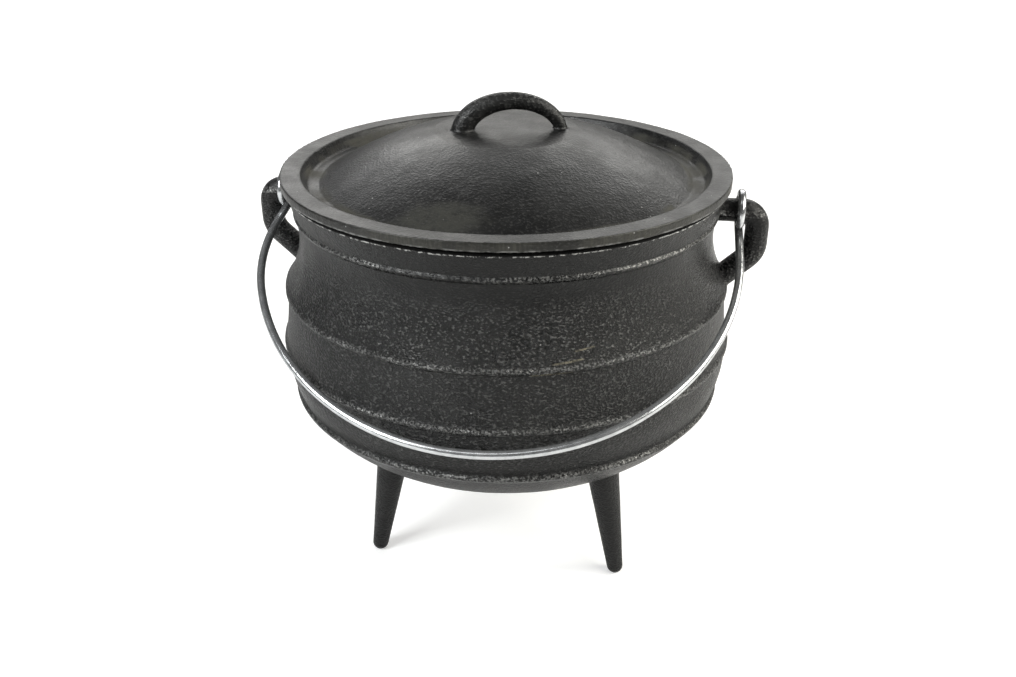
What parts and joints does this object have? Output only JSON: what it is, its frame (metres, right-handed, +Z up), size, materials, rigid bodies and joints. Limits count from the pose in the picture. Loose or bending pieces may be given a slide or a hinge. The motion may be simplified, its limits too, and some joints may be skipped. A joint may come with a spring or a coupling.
{
  "type": "potjie pot",
  "caption": "Round-bellied cast-iron pot on tapered legs, with raised rings, looped ears, a domed lid with a loop handle, and a bent wire bail.",
  "frame": {"origin": "on the ground, on the pot's own axis, midway between the legs' tips", "axes": "+Z up along the pot's axis; the ears lie along X; the front, where the bail hangs, is -Y"},
  "size_m": [0.3068, 0.2767, 0.2965],
  "materials": {
    "cast_iron": "black, oiled, rough as cast",
    "wire": "bright galvanised wire"
  },
  "bodies": {
    "pot_and_lid": {"pot": "cast_iron", "lid": "cast_iron"},
    "bail_wire": {"bail": "wire"}
  },
  "joints": [
    {"name": "bail_swing", "type": "hinge", "parent": "pot_and_lid", "child": "bail_wire", "pos_m": [0, 0, 0.2328], "axis": [-1, 0, 0], "range_deg": [0, 247]}
  ]
}
